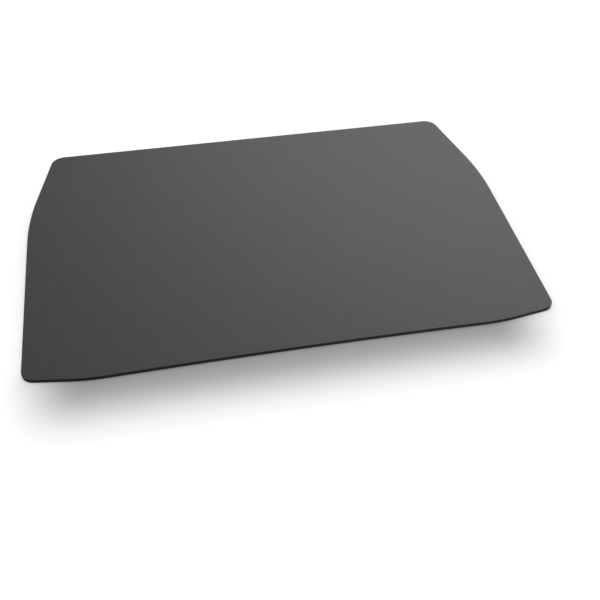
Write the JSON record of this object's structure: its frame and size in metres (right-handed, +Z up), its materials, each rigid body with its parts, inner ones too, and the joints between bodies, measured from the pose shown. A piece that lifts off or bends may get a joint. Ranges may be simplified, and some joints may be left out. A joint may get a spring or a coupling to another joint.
{
  "type": "trunk mat",
  "caption": "Flat, thick sheet mat for a vehicle's luggage floor, wider across its middle than at either end, with rounded corners and a slightly hollow near edge that sweeps back at its ends.",
  "frame": {"origin": "on the floor, under the middle of the mat's length and width", "axes": "+X across the mat, +Y from its near edge to its far edge, +Z up through its thickness"},
  "size_m": [0.9946, 0.6904, 0.008],
  "materials": {
    "carpet": "matt dark grey fine-fibred carpet with a near-black cut side and underside"
  },
  "bodies": {
    "root": {"trunk_mat": "carpet"}
  },
  "joints": []
}
